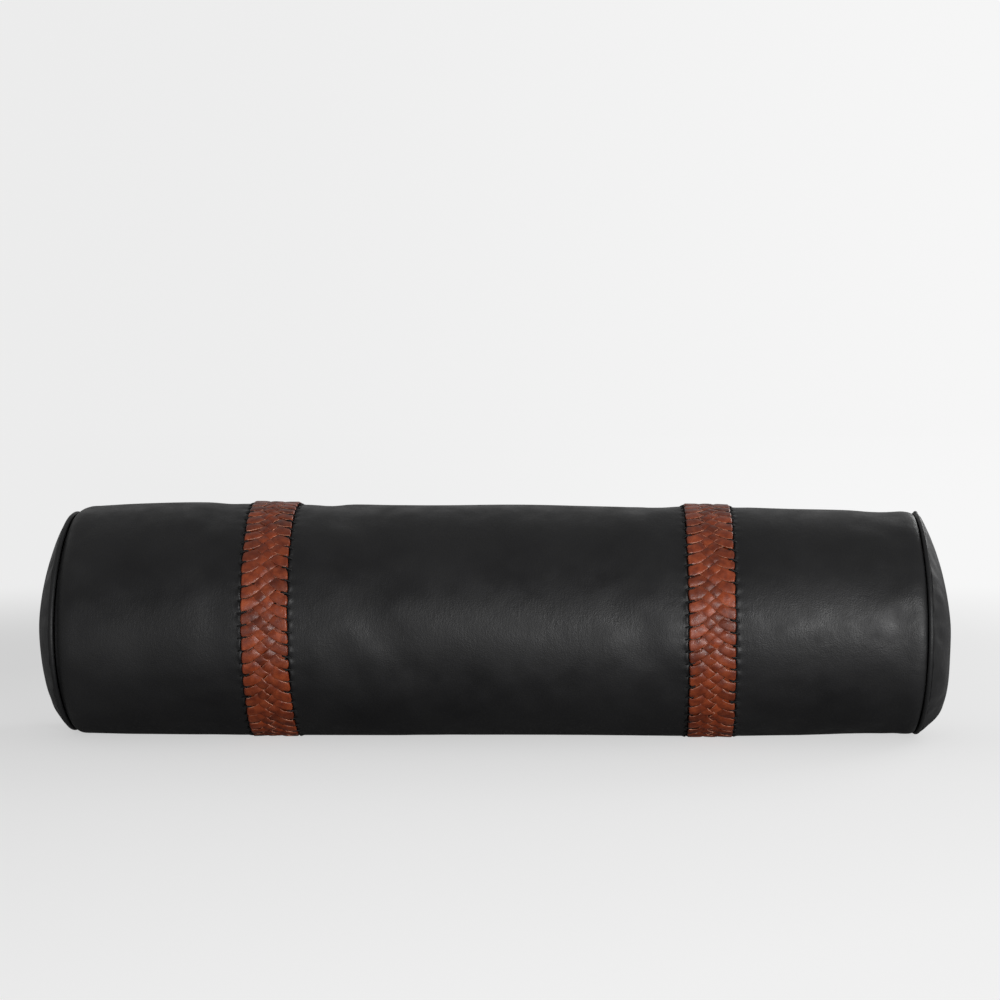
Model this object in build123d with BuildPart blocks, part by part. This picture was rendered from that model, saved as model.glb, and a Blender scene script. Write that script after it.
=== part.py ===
from build123d import *
from functools import cache
from math import acos, cos, degrees, radians, sin, tan
import os

# A leather bolster pillow that lies along X, with two braided bands and piped, domed ends.
# The origin is on the floor under the middle of the pillow. All sizes are in millimetres.

# Outline
overall_length = 908.0
body_radius = 116.0  # outside of the black leather
flat_depth = 5.4  # how far the resting side is pressed flat
shoulder_start = 392.0  # where the tube begins to round in towards the end seam
seam_radius = 108.6  # outside of the leather at the end seam
seam_station = 421.4  # middle of each end seam, from the pillow's centre
dome_rim_radius = 16.0  # of the tight bend between an end seam and the cap's shallow crown

# Leather cover
leather = 1.4
left_band_station = -218.0
right_band_station = 212.0
band_width = 44.0
band_gap = 0.4  # between a panel's edge and the braid
skive_width = 2.8  # the thinned edge that the whip stitches lie in
skive_depth = 0.9
braid_rise = 2.8  # how far the braid stands above the black leather
allowance_depth = 9.5  # seam allowance turned inwards at the end seams

# Piping
piping_radius = 2.4
piping_skin = 1.0
piping_ring_radius = 108.0
clearance = 0.1  # between neighbouring pieces of the end seam

# Backing strips and insert, as depths below the outside of the leather
backing_depth = 1.5
backing_thickness = 1.0
backing_overlap = 9.5
insert_depth = 2.9
ticking = 0.8
insert_end_station = 427.0  # where the insert's end discs are sewn on
dent_clearance = 0.6  # around what presses into the insert

# Threads
thread = 0.75
whip_stitch_count = 60
whip_stitch_length = 5.0
end_stitch_count = 100
end_stitch_length = 4.0
end_stitch_radius = 101.0
end_stitch_thickness = 0.35
top_stitch_length = 3.6
top_stitch_pitch = 5.0
top_stitch_height = 0.4
top_stitch_margin = 6.0  # bare stretch at each end of a row
long_seam_offset = 4.0  # of each stitch row from the middle of the long seam
zip_row_offset = 10.5  # of each stitch row from the middle of the zip
closing_stitch_angle = 150.0  # from the top, round the back of the insert
closing_stitch_half_span = 90.0

# Zip in the long seam, straight behind the pillow's axis. Heights are distances from that axis.
seam_angle = 90.0
zip_length = 300.0
slit_length = 320.0
slit_half_width = 6.5
coil_bottom = 112.6
coil_top = 114.8
coil_gap = 0.5  # half the gap between the two coils
coil_half_width = 2.95
tape_bottom = 113.3
tape_thickness = 0.6
tape_half_width = 16.0
stop_length = 2.6
stop_gap = 0.2
slider_length = 12.0
slider_front_half_width = 4.8
slider_rear_half_width = 4.1
slider_corner = 1.0
slider_bottom = 111.0
slider_top = 116.4
channel_clearance = 0.4
tape_clearance = 0.3
post_length = 4.0
post_half_width = 0.35
bail_length = 9.0
bail_half_width = 1.1
bail_height = 1.95
bail_bar = 0.9
bail_lean = 0.7
pull_length = 27.0
pull_thickness = 0.8
pull_arm_half_width = 2.5
pull_window_half_width = 1.5
pull_window_length = 6.2
pull_neck = 8.0
pull_flare = 11.0
pull_half_width = 4.0
pull_tip_radius = 3.0
pull_hole_radius = 1.3
pull_rise = 0.15  # clear height under the pull's bar

# Worked out from the above
half_length = overall_length / 2
axis_height = body_radius - flat_depth
panel_end = seam_station - piping_radius - clearance
cap_start = seam_station + piping_radius + clearance
lip_radius = piping_ring_radius - piping_radius - clearance
allowance_tip = lip_radius - allowance_depth
pillow_axis = Axis((0, 0, axis_height), (1, 0, 0))
profile_plane = Plane(origin=(0, 0, axis_height), x_dir=(1, 0, 0), z_dir=(0, -1, 0))
section_plane = Plane(origin=(0, 0, axis_height), x_dir=(0, 1, 0), z_dir=(1, 0, 0))
dome_height = half_length - cap_start
dome_rim_centre = Vector(cap_start, seam_radius - dome_rim_radius)
crown_reach = dome_height**2 + dome_rim_centre.Y**2 - dome_rim_radius**2
crown_radius = crown_reach / (2 * (dome_height - dome_rim_radius))
crown_centre = Vector(half_length - crown_radius, 0)
braid_half_width = band_width / 2 - band_gap
zip_middle = (left_band_station + right_band_station) / 2
zip_start = zip_middle - zip_length / 2
zip_end = zip_middle + zip_length / 2
slit_start = zip_middle - slit_length / 2
slit_end = zip_middle + slit_length / 2
slider_middle = zip_start + slider_length / 2 + clearance
pull_pivot_height = slider_top + pull_rise + pull_thickness / 2
whole_section = 3 * body_radius  # wide enough to take in the pillow's whole section

os.makedirs("parts", exist_ok=True)


def finish(part, name):
    """Labels a piece with its name and writes it."""
    part.label = name
    export_step(part, f"parts/{name}.step")


# Shared shapes


@cache
def pillow_core(depth):
    """The whole pillow as one solid, taken in from the outside of the leather by a depth."""
    tube = body_radius - depth
    rim = seam_radius - depth
    dome_rim_end = dome_rim_centre + (dome_rim_centre - crown_centre).normalized() * (dome_rim_radius - depth)
    with BuildPart() as core:
        with BuildSketch(profile_plane):
            with BuildLine():
                side = Line((0, tube), (shoulder_start, tube))
                shoulder = TangentArc(side @ 1, (panel_end, rim), tangent=side % 1)
                neck = Line(shoulder @ 1, (cap_start, rim))
                dome_rim = TangentArc(neck @ 1, dome_rim_end, tangent=neck % 1)
                crown = TangentArc(dome_rim @ 1, (half_length - depth, 0), tangent=dome_rim % 1)
                Polyline(crown @ 1, (0, 0), side @ 0)
            make_face()
            mirror(about=Plane.YZ)
        revolve(axis=pillow_axis)
        split(bisect_by=Plane.XY.offset(max(depth, 0)), keep=Keep.TOP)
    return core.part


def layer(outer_depth, inner_depth, start, end):
    """The pillow's wall between two depths, from one station along X to another."""
    with BuildPart() as wall:
        add(pillow_core(outer_depth))
        add(pillow_core(inner_depth), mode=Mode.SUBTRACT)
        with BuildSketch(section_plane.offset(start)):
            Rectangle(whole_section, whole_section)
        extrude(amount=end - start, mode=Mode.INTERSECT)
    return wall.part


def surface_place(station, angle, depth):
    """A place at a depth in the pillow's wall, with its own Z pointing out of the wall.

    The angle goes from the top round the back. Under the pillow the place is on the flat."""
    radius = body_radius - depth
    flat_distance = radius - flat_depth
    from_bottom = angle % 360 - 180
    if abs(from_bottom) < degrees(acos(flat_distance / radius)):
        return Location((station, -flat_distance * tan(radians(from_bottom)), depth), (180, 0, 0))
    across = radius * sin(radians(angle))
    height = axis_height + radius * cos(radians(angle))
    return Location((station, across, height), (-angle, 0, 0))


def stitches(places, length, width, height, name):
    """One node with a short bar of thread at each place."""
    with BuildPart() as row:
        with Locations(*places):
            Box(length, width, height)
    finish(row.part, name)


# Black leather panels. Their edges are thinned where they meet a braid.


def turned_allowance(side, away):
    """The edge of a panel or cap that turns in under the piping and runs towards the axis.

    Side is 1 at the right end seam and -1 at the left. Away is 1 for a cap and -1 for a panel."""
    outer = piping_radius + clearance
    inner = piping_skin / 2 + clearance
    outline = [
        (outer + leather, seam_radius - leather / 2),
        (outer + leather, lip_radius - leather),
        (inner + leather, lip_radius - leather),
        (inner + leather, allowance_tip),
        (inner, allowance_tip),
        (inner, lip_radius),
        (outer, lip_radius),
        (outer, seam_radius - leather / 2),
    ]
    with BuildPart() as allowance:
        with BuildSketch(profile_plane):
            with BuildLine():
                Polyline(*[(side * (seam_station + away * x), r) for x, r in outline], close=True)
            make_face()
        revolve(axis=pillow_axis)
    return allowance.part


def side_panel(side, band_station, name):
    """The panel between an end seam and a braid."""
    edge = band_station + side * band_width / 2
    start, end = sorted((side * panel_end, edge))
    thin_start, thin_end = sorted((edge, edge + side * skive_width))
    with BuildPart() as panel:
        add(layer(0, leather, start, end))
        add(layer(-braid_rise, skive_depth, thin_start, thin_end), mode=Mode.SUBTRACT)
        add(turned_allowance(side, -1))
    finish(panel.part, name)


def middle_panel():
    """The panel between the braids, with the zip's slit at the back."""
    start = left_band_station + band_width / 2
    end = right_band_station - band_width / 2
    with BuildPart() as panel:
        add(layer(0, leather, start, end))
        for thin_start in (start, end - skive_width):
            add(layer(-braid_rise, skive_depth, thin_start, thin_start + skive_width), mode=Mode.SUBTRACT)
        with Locations((zip_middle, body_radius, axis_height)):
            Box(slit_length, body_radius, 2 * slit_half_width, mode=Mode.SUBTRACT)
    finish(panel.part, "centre_panel")


side_panel(-1, left_band_station, "left_panel")
middle_panel()
side_panel(1, right_band_station, "right_panel")


# Braided bands, each as one plain ring, and the cloth strips behind them


def braid(station, name):
    """A braid, proud of the panels except where it is stitched down and where the pillow rests."""
    start = station - braid_half_width
    end = station + braid_half_width
    low_edge = skive_width - band_gap
    with BuildPart() as band:
        add(layer(-braid_rise, leather, start, end))
        for low_start in (start, end - low_edge):
            add(layer(-2 * braid_rise, skive_depth, low_start, low_start + low_edge), mode=Mode.SUBTRACT)
    finish(band.part, name)


def backing_strip(station, name):
    """The cloth that carries a braid and bridges the gap between two panels."""
    reach = band_width / 2 + backing_overlap
    depth = backing_depth + backing_thickness
    finish(layer(backing_depth, depth, station - reach, station + reach), name)


for side, station in (("left", left_band_station), ("right", right_band_station)):
    braid(station, f"{side}_braid")
    backing_strip(station, f"{side}_backing_strip")


# Whip stitches that lace each edge of each braid to its panel


def whip_stitches(station, name):
    """A ring of stitches across one joint between a panel and a braid."""
    angles = [360 * i / whip_stitch_count for i in range(whip_stitch_count)]
    places = [surface_place(station, angle, skive_depth / 2) for angle in angles]
    stitches(places, whip_stitch_length, thread, thread, name)


joint_offset = (band_width - band_gap) / 2
whip_stitches(left_band_station - joint_offset, "left_braid_outer_stitches")
whip_stitches(left_band_station + joint_offset, "left_braid_inner_stitches")
whip_stitches(right_band_station - joint_offset, "right_braid_inner_stitches")
whip_stitches(right_band_station + joint_offset, "right_braid_outer_stitches")


# End caps, piping and end seams


def end_cap(side, name):
    """A disc of leather pushed out into a dome, with its edge turned in at the seam."""
    start, end = sorted((side * cap_start, side * (half_length + leather)))
    with BuildPart() as cap:
        add(layer(0, leather, start, end))
        add(turned_allowance(side, 1))
    finish(cap.part, name)


def piping_cover(side, name):
    """Thin leather wrapped round the piping cord, with a flange that is sewn into the seam."""
    flange_top = piping_ring_radius - piping_radius + piping_skin
    with BuildPart() as cover:
        with BuildSketch(profile_plane):
            with Locations((side * seam_station, piping_ring_radius)):
                Circle(piping_radius)
            with Locations((side * seam_station, (allowance_tip + flange_top) / 2)):
                Rectangle(piping_skin, flange_top - allowance_tip)
            with Locations((side * seam_station, piping_ring_radius)):
                Circle(piping_radius - piping_skin, mode=Mode.SUBTRACT)
        revolve(axis=pillow_axis)
    finish(cover.part, name)


def piping_cord(side, name):
    """The cord inside the piping."""
    with BuildPart() as cord:
        with BuildSketch(profile_plane):
            with Locations((side * seam_station, piping_ring_radius)):
                Circle(piping_radius - piping_skin)
        revolve(axis=pillow_axis)
    finish(cord.part, name)


def end_seam_thread(side, name):
    """The lockstitch through the allowances, seen as a ring of dashes on both of their faces."""
    face = piping_skin / 2 + clearance + leather + end_stitch_thickness
    places = []
    for station in (seam_station - face, seam_station + face):
        for i in range(end_stitch_count):
            angle = 360 * i / end_stitch_count
            across = end_stitch_radius * sin(radians(angle))
            height = axis_height + end_stitch_radius * cos(radians(angle))
            places.append(Location((side * station, across, height), (-angle, 0, 0)))
    stitches(places, end_stitch_thickness, end_stitch_length, thread, name)


for side, sign in (("left", -1), ("right", 1)):
    end_cap(sign, f"{side}_end_cap")
    piping_cover(sign, f"{side}_piping_cover")
    piping_cord(sign, f"{side}_piping_cord")
    end_seam_thread(sign, f"{side}_end_seam_thread")


# Stitch rows beside the long seam and the zip


def row_places(start, end, offset):
    """Places every pitch along X from start to end, at an offset up or down from the long seam."""
    count = int((end - start) // top_stitch_pitch)
    first = (start + end - (count - 1) * top_stitch_pitch) / 2
    angle = seam_angle - degrees(offset / body_radius)
    depth = -top_stitch_height / 2
    return [surface_place(first + i * top_stitch_pitch, angle, depth) for i in range(count)]


def long_seam_stitches(stretches, name):
    """A row of stitches on each side of the long seam, over some stretches of it."""
    places = []
    for start, end in stretches:
        for offset in (-long_seam_offset, long_seam_offset):
            places += row_places(start + top_stitch_margin, end - top_stitch_margin, offset)
    stitches(places, top_stitch_length, thread, top_stitch_height, name)


band_reach = band_width / 2
left_stretch = (-shoulder_start, left_band_station - band_reach)
right_stretch = (right_band_station + band_reach, shoulder_start)
zip_stretches = [
    (left_band_station + band_reach, slit_start),
    (slit_end, right_band_station - band_reach),
]
long_seam_stitches([left_stretch], "left_long_seam_stitches")
long_seam_stitches(zip_stretches, "centre_long_seam_stitches")
long_seam_stitches([right_stretch], "right_long_seam_stitches")
for side, sign in (("upper", 1), ("lower", -1)):
    places = row_places(slit_start, slit_end, sign * zip_row_offset)
    stitches(places, top_stitch_length, thread, top_stitch_height, f"zip_{side}_topstitching")


# Zip tapes, coils and stops


def zip_tape(sign, name):
    """A woven tape that follows the inside of the cover, from its coil outwards."""
    inner_edge = coil_half_width + clearance
    middle = axis_height + sign * (inner_edge + tape_half_width) / 2
    with BuildPart() as tape:
        with BuildSketch(Plane.YZ.offset(slit_start)):
            with Locations((0, axis_height)):
                Circle(tape_bottom + tape_thickness)
                Circle(tape_bottom, mode=Mode.SUBTRACT)
            with Locations((body_radius, middle)):
                Rectangle(body_radius, tape_half_width - inner_edge, mode=Mode.INTERSECT)
        extrude(amount=slit_length)
    finish(tape.part, name)


def zip_bar(start, end, low, high):
    """A bar along the zip between two heights across it, as thick as the coils."""
    with BuildPart() as bar:
        with Locations(((start + end) / 2, (coil_bottom + coil_top) / 2, axis_height + (low + high) / 2)):
            Box(end - start, coil_top - coil_bottom, high - low)
    return bar.part


for side, sign in (("upper", 1), ("lower", -1)):
    zip_tape(sign, f"zip_{side}_tape")
    low, high = sorted((sign * coil_gap, sign * coil_half_width))
    finish(zip_bar(zip_start, zip_end, low, high), f"zip_{side}_coil")

stop_end = zip_start - stop_gap
with BuildPart() as top_stops:
    add(zip_bar(stop_end - stop_length, stop_end, coil_gap, coil_half_width))
    add(zip_bar(stop_end - stop_length, stop_end, -coil_half_width, -coil_gap))
finish(top_stops.part, "zip_top_stops")

bottom_stop = zip_bar(zip_end + stop_gap, zip_end + stop_gap + stop_length, -coil_half_width, coil_half_width)
finish(bottom_stop, "zip_bottom_stop")


# Zip slider: two plates round the coils, joined by a post that runs between them

slider_plane = Plane(origin=(slider_middle, slider_bottom, axis_height), x_dir=(1, 0, 0), z_dir=(0, 1, 0))
channel_bottom = coil_bottom - channel_clearance
channel_top = coil_top + channel_clearance
channel_half_width = coil_half_width + channel_clearance
slot_bottom = tape_bottom - tape_clearance
slot_top = tape_bottom + tape_thickness + tape_clearance

with BuildPart() as slider_body:
    with BuildSketch(slider_plane):
        with BuildLine():
            Polyline(
                (-slider_length / 2, -slider_rear_half_width),
                (0, -slider_front_half_width),
                (slider_length / 2, -slider_front_half_width),
                (slider_length / 2, slider_front_half_width),
                (0, slider_front_half_width),
                (-slider_length / 2, slider_rear_half_width),
                close=True,
            )
        outline = make_face()
        fillet(outline.vertices(), slider_corner)
    extrude(amount=slider_top - slider_bottom)
    with Locations((slider_middle, (channel_bottom + channel_top) / 2, axis_height)):
        Box(slider_length, channel_top - channel_bottom, 2 * channel_half_width, mode=Mode.SUBTRACT)
    with Locations((slider_middle, (slot_bottom + slot_top) / 2, axis_height)):
        Box(slider_length, slot_top - slot_bottom, 2 * body_radius, mode=Mode.SUBTRACT)
    with Locations((slider_middle, (slider_bottom + slider_top) / 2, axis_height)):
        Box(post_length, slider_top - slider_bottom, 2 * post_half_width)
finish(slider_body.part, "zip_slider_body")

with BuildPart() as slider_bail:
    with BuildSketch(Plane.XY.offset(axis_height - bail_half_width)):
        with BuildLine():
            Polyline(
                (slider_middle - bail_length / 2, slider_top),
                (slider_middle - bail_length / 2 + bail_lean, slider_top + bail_height),
                (slider_middle + bail_length / 2 - bail_lean, slider_top + bail_height),
                (slider_middle + bail_length / 2, slider_top),
                (slider_middle + bail_length / 2 - bail_bar, slider_top),
                (slider_middle + bail_length / 2 - bail_bar - bail_lean, slider_top + bail_height - bail_bar),
                (slider_middle - bail_length / 2 + bail_bar + bail_lean, slider_top + bail_height - bail_bar),
                (slider_middle - bail_length / 2 + bail_bar, slider_top),
                close=True,
            )
        make_face()
    extrude(amount=2 * bail_half_width)
finish(slider_bail.part, "zip_slider_bail")

# Pull tab: a flat plate with a window round the bail's front leg, hung on a round bar through the bail
pull_plane = Plane(
    origin=(slider_middle, pull_pivot_height - pull_thickness / 2, axis_height),
    x_dir=(1, 0, 0),
    z_dir=(0, 1, 0),
)
with BuildPart() as pull_tab:
    with BuildSketch(pull_plane):
        with BuildLine():
            Polyline(
                (0, -pull_arm_half_width),
                (pull_neck, -pull_arm_half_width),
                (pull_flare, -pull_half_width),
                (pull_length, -pull_half_width),
                (pull_length, pull_half_width),
                (pull_flare, pull_half_width),
                (pull_neck, pull_arm_half_width),
                (0, pull_arm_half_width),
                close=True,
            )
        plate = make_face()
        tip_corners = plate.vertices().group_by(Axis.X)[-1]
        fillet(tip_corners, pull_tip_radius)
        with Locations((pull_window_length / 2, 0)):
            Rectangle(pull_window_length, 2 * pull_window_half_width, mode=Mode.SUBTRACT)
        with Locations((pull_length - 2 * pull_tip_radius, 0)):
            Circle(pull_hole_radius, mode=Mode.SUBTRACT)
    extrude(amount=pull_thickness)
    with Locations((slider_middle, pull_pivot_height, axis_height)):
        Cylinder(pull_thickness / 2, 2 * pull_arm_half_width)
finish(pull_tab.part, "zip_pull_tab")


# Insert: a ticking casing round one mass of filling


def insert_solid(inset):
    """The insert, taken in by an inset, with dents where the seam allowances and the zip press in."""
    dent_inner = seam_station - piping_radius - leather - dent_clearance - inset
    dent_outer = seam_station + piping_radius + leather + dent_clearance + inset
    dent_bottom = allowance_tip - dent_clearance - inset
    channel_bottom = slider_bottom - dent_clearance - inset
    channel_half_width = slider_front_half_width + dent_clearance + inset
    channel_half_length = slit_length / 2 + inset
    with BuildPart() as solid:
        add(pillow_core(insert_depth + inset))
        for side in (-1, 1):
            with BuildSketch(profile_plane):
                with Locations((side * (dent_inner + dent_outer) / 2, (dent_bottom + body_radius) / 2)):
                    Rectangle(dent_outer - dent_inner, body_radius - dent_bottom)
            revolve(axis=pillow_axis, mode=Mode.SUBTRACT)
        with Locations((zip_middle, (channel_bottom + body_radius) / 2, axis_height)):
            Box(
                2 * channel_half_length,
                body_radius - channel_bottom,
                2 * channel_half_width,
                mode=Mode.SUBTRACT,
            )
    return solid.part


def casing_piece(start, end, name):
    """The ticking between two stations along X."""
    with BuildPart() as casing:
        add(insert_solid(0))
        add(insert_solid(ticking), mode=Mode.SUBTRACT)
        with BuildSketch(section_plane.offset(start)):
            Rectangle(whole_section, whole_section)
        extrude(amount=end - start, mode=Mode.INTERSECT)
    finish(casing.part, name)


casing_piece(-insert_end_station, insert_end_station, "insert_casing")
casing_piece(-half_length, -insert_end_station, "insert_left_end")
casing_piece(insert_end_station, half_length, "insert_right_end")
finish(insert_solid(ticking + clearance), "insert_fill")

closing_depth = insert_depth - top_stitch_height / 2 - clearance / 2
closing_count = int(2 * closing_stitch_half_span // top_stitch_pitch)
closing_stations = [top_stitch_pitch * (i - (closing_count - 1) / 2) for i in range(closing_count)]
closing_places = [surface_place(x, closing_stitch_angle, closing_depth) for x in closing_stations]
stitches(closing_places, top_stitch_length, thread, top_stitch_height, "insert_closing_stitches")
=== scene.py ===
"""Leather bolster with two braided bands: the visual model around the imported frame.

Lengths are millimetres until a mesh is made. A point on the pillow is given by its station along the
axis and by its angle round it, which runs from the top, over the back, under the floor side to the front.
"""
import math

import bpy
import numpy as np
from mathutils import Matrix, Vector


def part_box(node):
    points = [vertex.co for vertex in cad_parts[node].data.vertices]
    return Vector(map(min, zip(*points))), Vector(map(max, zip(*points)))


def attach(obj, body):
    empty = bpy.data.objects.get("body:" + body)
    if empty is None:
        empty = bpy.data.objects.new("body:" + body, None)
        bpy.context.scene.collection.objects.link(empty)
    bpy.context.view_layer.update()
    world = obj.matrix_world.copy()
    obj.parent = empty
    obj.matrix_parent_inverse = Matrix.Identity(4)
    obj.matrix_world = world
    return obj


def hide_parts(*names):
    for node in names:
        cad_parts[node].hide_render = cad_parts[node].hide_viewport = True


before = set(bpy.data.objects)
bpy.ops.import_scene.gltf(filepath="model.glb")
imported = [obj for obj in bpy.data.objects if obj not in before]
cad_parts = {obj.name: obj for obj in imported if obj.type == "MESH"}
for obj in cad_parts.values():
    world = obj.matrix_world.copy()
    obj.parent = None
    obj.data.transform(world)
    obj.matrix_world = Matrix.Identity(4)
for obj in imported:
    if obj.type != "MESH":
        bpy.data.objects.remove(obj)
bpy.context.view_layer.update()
scene = bpy.context.scene

MM = 0.001
TURN = 2 * math.pi
BACK = math.pi / 2


# ---- places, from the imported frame

def corners(node):
    """Lowest and highest corner of a CAD node in millimetres."""
    low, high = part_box(node)
    return np.array(low) * 1000, np.array(high) * 1000


def middle(node):
    """Middle of a CAD node's box in millimetres."""
    low, high = corners(node)
    return (low + high) / 2


axis_z = middle("left_piping_cover")[2]
left_seam = middle("left_piping_cover")[0]
right_seam = middle("right_piping_cover")[0]
body_radius = corners("right_panel")[1][1]
left_band = (corners("left_panel")[1][0], corners("centre_panel")[0][0])
right_band = (corners("centre_panel")[1][0], corners("right_panel")[0][0])
slit = (corners("zip_upper_tape")[0][0], corners("zip_upper_tape")[1][0])
coil_run = (corners("zip_upper_coil")[0][0], corners("zip_upper_coil")[1][0])
coil_middle_y = middle("zip_upper_coil")[1]
tape_radius = corners("zip_upper_tape")[1][1]

# Leather
leather = 1.4
slit_half_width = 6.5
seam_half_gap = 0.06
panel_end_inset = 1.1
piping_radius = 2.4
piping_ring = 108.0
flange_radius = 99.0
cap_rim = 108.7

# Braid
strand_count = 5
folds_per_turn = 60
pitch = TURN / folds_per_turn
strip_thickness = 1.2
strand_lift = 1.0
braid_base = 1.0
strip_width_edge = 9.4
strip_width_middle = 9.1
edge_slope = 0.45
edge_flare = 0.27
fold_bend = strand_lift * math.pi / 2

# Insert
insert_reach = 405.0
insert_depth = 6.0
casing_thickness = 0.8

# Threads
whip_radius = 0.85
whip_clearance = 2.7
row_thread_radius = 0.36
stitch_gap = 1.6
seam_row_offset = 4.2

# How much fuller than the CAD radius the filling pushes each station
FULLNESS = [
    (-419, -8.0), (-414, -3.6), (-409, -1.4), (-398, -0.4), (-370, 0.9), (-335, 1.5), (-290, 2.0),
    (-250, 2.0), (-218, 2.0), (-185, 1.8), (-120, 1.0), (0, -0.6), (120, -0.8), (180, -0.4),
    (212, -0.9), (245, -1.2), (300, -2.5), (350, -4.0), (385, -5.0), (399, -5.3), (408, -5.0),
    (414, -5.8), (419, -8.0),
]
# How far the middle of each section stands above the CAD axis
LIFT = [
    (-419, 0.0), (-380, 0.2), (-300, 0.4), (-218, 0.1), (-100, 0.1), (0, 0.6), (150, 0.5),
    (212, 0.2), (300, 0.6), (350, 1.3), (395, 1.0), (419, 0.0),
]
LEFT_TILT = 2.0
RIGHT_TILT = 1.2

# The room as the camera sees it: floor whiteness, the floor's painted glow (which also lightens its shade
# beside the pillow) and the room's glow from left to right, and the distances in metres over which the floor
# fades into the room
FLOOR_WHITE = 0.38
FLOOR_GLOW = (0.46, 0.64)
ROOM_GLOW = (0.84, 0.93)
ROOM_FADE = (1.05, 2.3)
# The light that reaches the pillow from the floor's painted glow, a painted shadow close to and behind the
# pillow and a painted pool of light in front of it, and from the room, from in front of it and from behind
FLOOR_CAST = (0.03, 0.78)
ROOM_CAST = (0.25, 0.5)

# Height of each domed end above its rim, and how far the filling that has slid down swells its lower half
DOME_HEIGHT = {-1: 27.4, 1: 28.6}
DOME_SWELL = {-1: 4.2, 1: 10.5}


# ---- small helpers

def add_object(name, data):
    """A new object in the scene."""
    thing = bpy.data.objects.new(name, data)
    scene.collection.objects.link(thing)
    return thing


def smooth_step(x):
    """0 below 0, 1 above 1, and smooth between."""
    x = np.clip(x, 0, 1)
    return x * x * (3 - 2 * x)


def even_angles(count):
    """Angles all round the pillow."""
    return np.arange(count) * TURN / count


def place(x, theta, r):
    """Points at station x, angle theta and distance r from the CAD axis."""
    x, theta, r = np.broadcast_arrays(x, theta, r)
    return np.stack([x, r * np.sin(theta), axis_z + r * np.cos(theta)], -1)


def floor_limit(theta, clearance=0.0):
    """Distance from the CAD axis to the floor at an angle, less a clearance above it."""
    return axis_z / np.maximum(-np.cos(theta), 0.05) - clearance


def soft_min(a, b, width=1.5):
    """The smaller of two values, with a rounded corner."""
    return 0.5 * (a + b - np.sqrt((a - b) ** 2 + width ** 2))


def smooth_curve(knots, x):
    """A smooth line through the knots."""
    kx, ky = np.array(knots, float).T
    slope = np.gradient(ky, kx)
    i = np.clip(np.searchsorted(kx, x) - 1, 0, len(kx) - 2)
    run = kx[i + 1] - kx[i]
    t = np.clip((x - kx[i]) / run, 0, 1)
    return ((2 * t ** 3 - 3 * t ** 2 + 1) * ky[i] + (t ** 3 - 2 * t ** 2 + t) * run * slope[i]
            + (3 * t ** 2 - 2 * t ** 3) * ky[i + 1] + (t ** 3 - t ** 2) * run * slope[i + 1])


def wrapped(angle):
    """An angle brought to -pi .. pi."""
    return (angle + math.pi) % TURN - math.pi


def cubic_taps(f):
    """Catmull-Rom weights of the four neighbours."""
    return (-0.5 * f + f ** 2 - 0.5 * f ** 3, 1 - 2.5 * f ** 2 + 1.5 * f ** 3,
            0.5 * f + 2 * f ** 2 - 1.5 * f ** 3, -0.5 * f ** 2 + 0.5 * f ** 3)


def sample(grid, row, column):
    """A grid read smoothly at fractional rows, held at the ends, and columns, wrapped."""
    rows, columns = grid.shape
    i, j = np.floor(row).astype(int), np.floor(column).astype(int)
    row_taps, column_taps = cubic_taps(row - i), cubic_taps(column - j)
    total = 0
    for a in range(4):
        for b in range(4):
            value = grid[np.clip(i + a - 1, 0, rows - 1), (j + b - 1) % columns]
            total = total + row_taps[a] * column_taps[b] * value
    return total


def grid_faces(rows, columns, start=0, wrap_rows=False, wrap_columns=False, flip=False):
    """Quads over a grid of vertices numbered row by row."""
    i = np.arange(rows if wrap_rows else rows - 1)[:, None]
    j = np.arange(columns if wrap_columns else columns - 1)[None, :]
    i1, j1 = (i + 1) % rows, (j + 1) % columns
    quads = np.stack(np.broadcast_arrays(i * columns + j, i1 * columns + j, i1 * columns + j1,
                                         i * columns + j1), -1).reshape(-1, 4) + start
    return quads[:, ::-1] if flip else quads


# ---- the pillow's surface

def back_zone(x, theta):
    """1 round the zip, where the surface is the CAD surface, and 0 away from it."""
    along = smooth_step((x - slit[0] + 24) / 16) * smooth_step((slit[1] + 22 - x) / 16)
    around = smooth_step((0.62 - np.abs(wrapped(theta - BACK))) / 0.3)
    return along * around


def section_radius(x, theta, clearance=0.0):
    """Distance of the leather from the CAD axis before any creases."""
    zone = back_zone(x, theta)
    radius = body_radius + smooth_curve(FULLNESS, x) * (1 - zone)
    lift = smooth_curve(LIFT, x) * (1 - zone)
    reach = lift * np.cos(theta) + np.sqrt(radius ** 2 - (lift * np.sin(theta)) ** 2)
    return soft_min(reach, floor_limit(theta, clearance))


def unevenness(x, theta):
    """Hand-filled unevenness that fades out at the zip, the seams and the floor."""
    waves = (0.45 * np.sin(3 * theta + x / 70) + 0.35 * np.sin(5 * theta - x / 43 + 1.3)
             + 0.3 * np.sin(2 * theta + x / 27 + 0.4))
    ends = smooth_step((x - left_seam - 8) / 30) * smooth_step((right_seam - 8 - x) / 30)
    off_floor = smooth_step(np.abs(wrapped(theta - math.pi)) * 0.4)
    return waves * ends * (1 - back_zone(x, theta)) * off_floor


def seam_bow(side, theta):
    """How far the filling bows an end seam along the pillow, with the sway of hand sewing at the top."""
    sway = 0.35 * np.sin(3 * theta + side) * (0.5 + 0.5 * np.cos(theta))
    if side < 0:
        return sway - 3.0 * np.clip(-np.sin(theta), 0, 1) ** 2
    return sway - 1.7 * np.cos(theta) ** 2


# ---- stuffing simulation

sim_rows = 112
sim_columns = 120
sim_rings = 12
relief_limit = 1.3


def cap_profile(phi, side):
    """Radius and reach beyond the seam of the domed end at parameter phi, 0 at the rim."""
    return cap_rim * np.cos(phi), piping_radius + 0.15 + DOME_HEIGHT[side] * np.sin(phi) ** 2


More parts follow.
